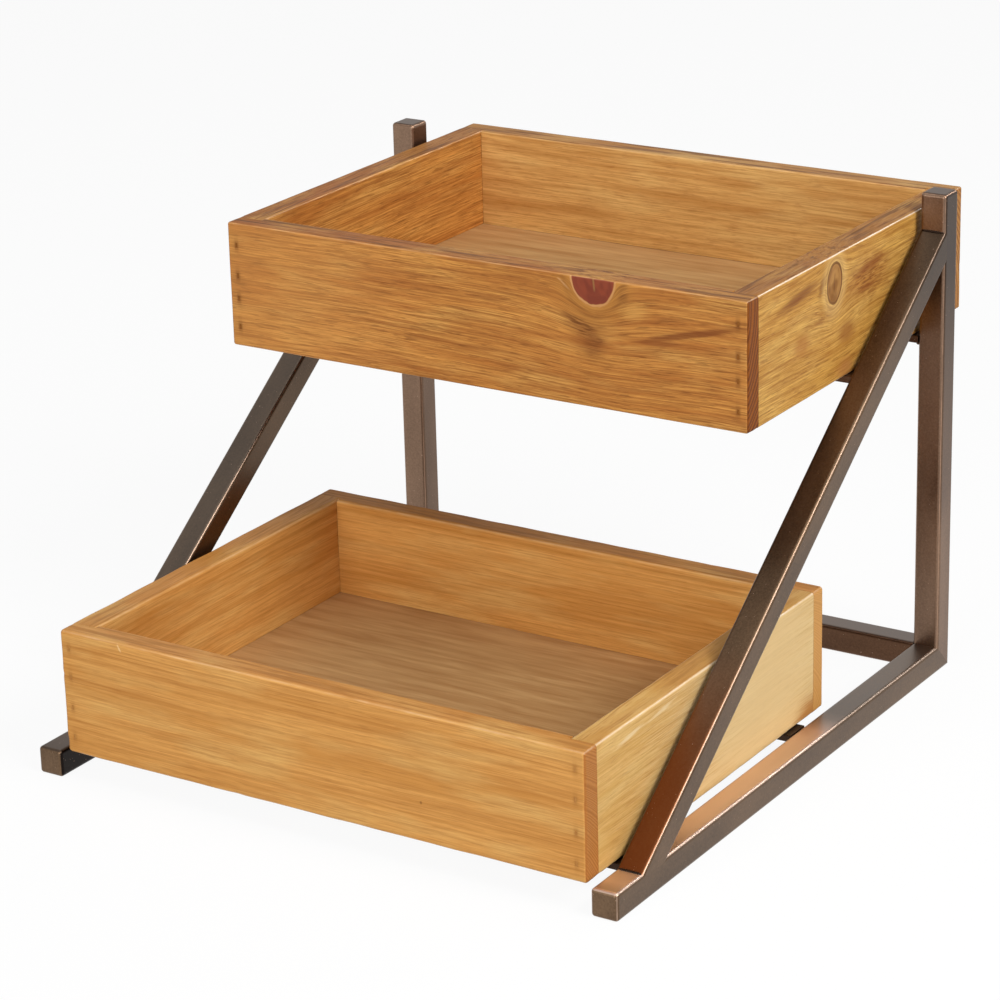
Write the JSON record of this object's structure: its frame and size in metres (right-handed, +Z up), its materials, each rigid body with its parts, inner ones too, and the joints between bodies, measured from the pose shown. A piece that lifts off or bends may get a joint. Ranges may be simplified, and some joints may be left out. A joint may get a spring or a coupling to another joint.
{
  "type": "tiered display stand",
  "caption": "Two-tier display stand: open pine boxes stepped one above the other on a welded frame of square bronze-finished tube with sloping legs.",
  "frame": {"origin": "bottom centre of the bounding box, on the surface that the stand rests on", "axes": "+Z up, +Y towards the back of the stand, +X to the right as seen from the front"},
  "size_m": [0.446, 0.514, 0.345],
  "materials": {
    "bronze_finish": "dark bronze finish over steel, satin, brighter on the worn arrises",
    "upper_pine": "stained and waxed pine, warm amber brown, with knots and dark streaks",
    "lower_pine": "waxed pine, honey coloured, fine straight grain",
    "floor_plywood": "thin plywood, oiled",
    "nail_steel": "dull steel finish nails set just below the face"
  },
  "bodies": {
    "frame": {"left_base_rail": "bronze_finish", "left_upright": "bronze_finish", "left_sloping_leg": "bronze_finish", "left_rail_cap": "bronze_finish", "left_upright_cap": "bronze_finish", "right_base_rail": "bronze_finish", "right_upright": "bronze_finish", "right_sloping_leg": "bronze_finish", "right_rail_cap": "bronze_finish", "right_upright_cap": "bronze_finish", "rear_cross_tube": "bronze_finish", "lower_front_bar": "bronze_finish", "lower_back_bar": "bronze_finish", "upper_front_bar": "bronze_finish", "upper_back_bar": "bronze_finish"},
    "lower_box": {"lower_front_board": "lower_pine", "lower_back_board": "lower_pine", "lower_left_board": "lower_pine", "lower_right_board": "lower_pine", "lower_floor": "floor_plywood", "lower_front_left_nail_1": "nail_steel", "lower_front_left_nail_2": "nail_steel", "lower_front_left_nail_3": "nail_steel", "lower_front_left_nail_4": "nail_steel", "lower_front_right_nail_1": "nail_steel", "lower_front_right_nail_2": "nail_steel", "lower_front_right_nail_3": "nail_steel", "lower_front_right_nail_4": "nail_steel", "lower_back_left_nail_1": "nail_steel", "lower_back_left_nail_2": "nail_steel", "lower_back_left_nail_3": "nail_steel", "lower_back_left_nail_4": "nail_steel", "lower_back_right_nail_1": "nail_steel", "lower_back_right_nail_2": "nail_steel", "lower_back_right_nail_3": "nail_steel", "lower_back_right_nail_4": "nail_steel"},
    "upper_box": {"upper_front_board": "upper_pine", "upper_back_board": "upper_pine", "upper_left_board": "upper_pine", "upper_right_board": "upper_pine", "upper_floor": "floor_plywood", "upper_front_left_nail_1": "nail_steel", "upper_front_left_nail_2": "nail_steel", "upper_front_left_nail_3": "nail_steel", "upper_front_left_nail_4": "nail_steel", "upper_front_right_nail_1": "nail_steel", "upper_front_right_nail_2": "nail_steel", "upper_front_right_nail_3": "nail_steel", "upper_front_right_nail_4": "nail_steel", "upper_back_left_nail_1": "nail_steel", "upper_back_left_nail_2": "nail_steel", "upper_back_left_nail_3": "nail_steel", "upper_back_left_nail_4": "nail_steel", "upper_back_right_nail_1": "nail_steel", "upper_back_right_nail_2": "nail_steel", "upper_back_right_nail_3": "nail_steel", "upper_back_right_nail_4": "nail_steel"}
  },
  "joints": [
    {"name": "lower_box_slide", "type": "slide", "parent": "frame", "child": "lower_box", "axis": [0, -1, 0], "range_m": [0, 0.32]},
    {"name": "upper_box_lift", "type": "slide", "parent": "frame", "child": "upper_box", "axis": [0, 0, 1], "range_m": [0, 0.12]}
  ]
}
